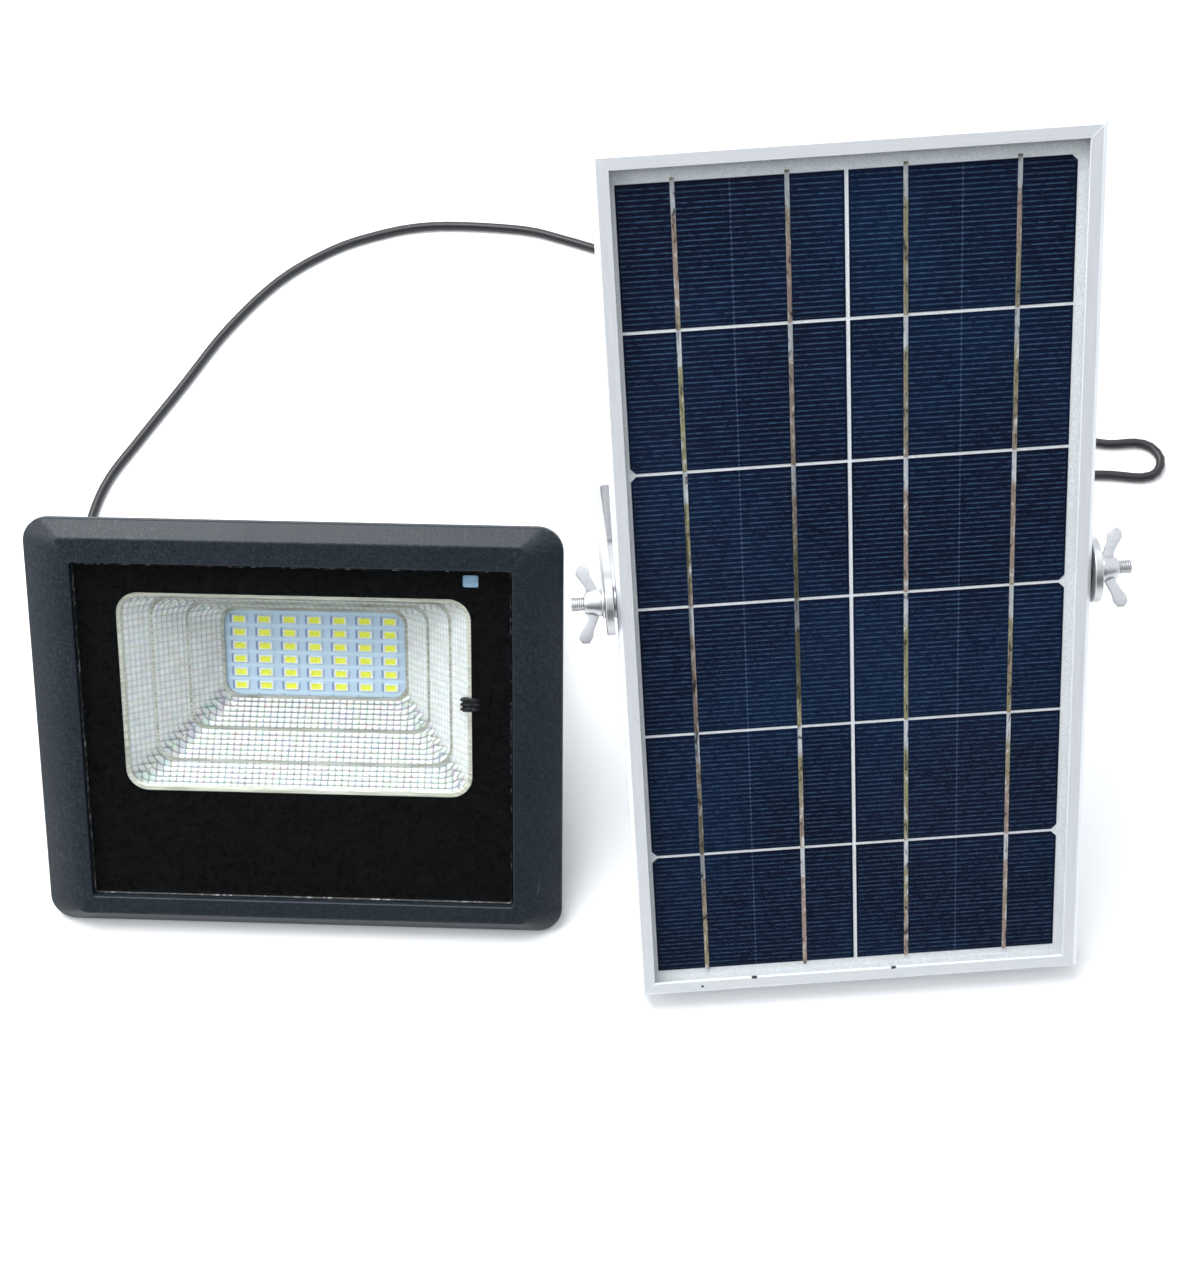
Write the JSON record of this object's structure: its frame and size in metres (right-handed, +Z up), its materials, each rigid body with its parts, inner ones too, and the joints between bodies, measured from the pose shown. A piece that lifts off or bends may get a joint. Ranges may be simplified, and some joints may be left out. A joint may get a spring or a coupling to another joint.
{
  "type": "solar flood light",
  "caption": "LED flood lamp head and framed solar panel, each on a tilting U bracket, joined by a cable with a screw connector and a coiled spare length.",
  "frame": {"origin": "on the ground, in the middle of the footprint that the lamp and the panel share, without the cable", "axes": "+X towards the panel side as seen from the front, +Z up; the lamp and the panel both face -Y and up"},
  "size_m": [0.486, 0.3809, 0.2697],
  "materials": {
    "bezel_powder": "fine textured charcoal powder coat",
    "housing_powder": "fine textured charcoal powder coat on cast aluminium",
    "clear_glass": "clear tempered glass",
    "black_print": "gloss black printed border",
    "black_rubber": "matt black rubber",
    "reflector_silver": "vacuum-metallised plastic with a stippled surface",
    "black_plastic": "matt black moulded plastic",
    "board_white": "pale blue-white solder mask",
    "board_green": "green solder mask",
    "led_phosphor": "cream LED body with a yellow phosphor",
    "zinc_steel": "bright zinc-plated steel",
    "stainless": "stainless steel",
    "cell_wrap": "blue shrink wrap",
    "white_plastic": "off-white moulded plastic",
    "wire_sleeve": "wire insulation, one red and one black",
    "electronics": "black component bodies",
    "sensor_body": "dark translucent sensor lens on a small board",
    "anodised": "satin clear-anodised aluminium",
    "key_aluminium": "mill-finish aluminium",
    "solar_glass": "low-iron tempered glass, faintly textured",
    "ribbon": "tinned copper ribbon",
    "silicon": "dark blue solar cells with fine silver lines",
    "backsheet_white": "white laminate film",
    "sealant": "grey-white silicone",
    "terminal_brass": "tinned brass terminals with a diode",
    "bracket_powder": "charcoal powder coat on steel strip",
    "bracket_zinc": "zinc-plated steel strip",
    "cable_jacket": "black cable jacket"
  },
  "bodies": {
    "brackets": {"lamp_bracket": "bracket_powder", "panel_bracket": "bracket_zinc", "lamp_lead": "cable_jacket", "lamp_plug": "black_plastic", "panel_socket": "black_plastic", "panel_lead": "cable_jacket", "lead_coil": "cable_jacket", "coil_tie": "black_plastic", "panel_drop_lead": "cable_jacket"},
    "lamp_head": {"front_bezel": "bezel_powder", "front_glass": "clear_glass", "glass_print": "black_print", "glass_seal": "black_rubber", "reflector": "reflector_silver", "reflector_clip": "black_plastic", "led_board": "board_white", "led_packages": "led_phosphor", "led_board_screws": "zinc_steel", "lamp_housing": "housing_powder", "housing_screws": "stainless", "battery_cells": "cell_wrap", "battery_cradles": "white_plastic", "battery_wires": "wire_sleeve", "control_board": "board_green", "control_parts": "electronics", "sensor_module": "sensor_body", "lamp_gland": "black_plastic", "lamp_gland_nut": "black_plastic", "lamp_gland_seal": "black_rubber", "lamp_pivot_bolts": "stainless", "lamp_pivot_washers": "stainless"},
    "panel": {"frame_left": "anodised", "frame_right": "anodised", "frame_top": "anodised", "frame_bottom": "anodised", "corner_keys": "key_aluminium", "panel_glass": "solar_glass", "cell_ribbons": "ribbon", "solar_cells": "silicon", "backsheet": "backsheet_white", "panel_sealant": "sealant", "junction_box": "black_plastic", "junction_lid": "black_plastic", "junction_screws": "stainless", "junction_terminals": "terminal_brass", "panel_strain_relief": "black_rubber", "panel_pivot_bolts": "zinc_steel", "panel_washers": "zinc_steel"},
    "left_nut": {"left_wing_nut": "zinc_steel"},
    "right_nut": {"right_wing_nut": "zinc_steel"},
    "cable_ring": {"coupling_ring": "black_plastic"}
  },
  "joints": [
    {"name": "lamp_tilt", "type": "hinge", "parent": "brackets", "child": "lamp_head", "pos_m": [-0.106, -0.01937, 0.04779], "axis": [1, 0, 0], "range_deg": [-60, 90], "deforming": ["lamp_lead"]},
    {"name": "panel_tilt", "type": "hinge", "parent": "brackets", "child": "panel", "pos_m": [0.10919, 0.0005, 0.13376], "axis": [0.9949, 0.1011, 0], "range_deg": [-85, 65], "deforming": ["panel_drop_lead"]},
    {"name": "left_nut_turn", "type": "hinge", "parent": "panel", "child": "left_nut", "pos_m": [0.10919, 0.0005, 0.13376], "axis": [0.9949, 0.1011, 0], "continuous": true},
    {"name": "right_nut_turn", "type": "hinge", "parent": "panel", "child": "right_nut", "pos_m": [0.10919, 0.0005, 0.13376], "axis": [0.9949, 0.1011, 0], "continuous": true},
    {"name": "cable_ring_turn", "type": "hinge", "parent": "brackets", "child": "cable_ring", "pos_m": [0.0799, 0.233, 0.007], "axis": [1, 0, 0], "continuous": true}
  ]
}
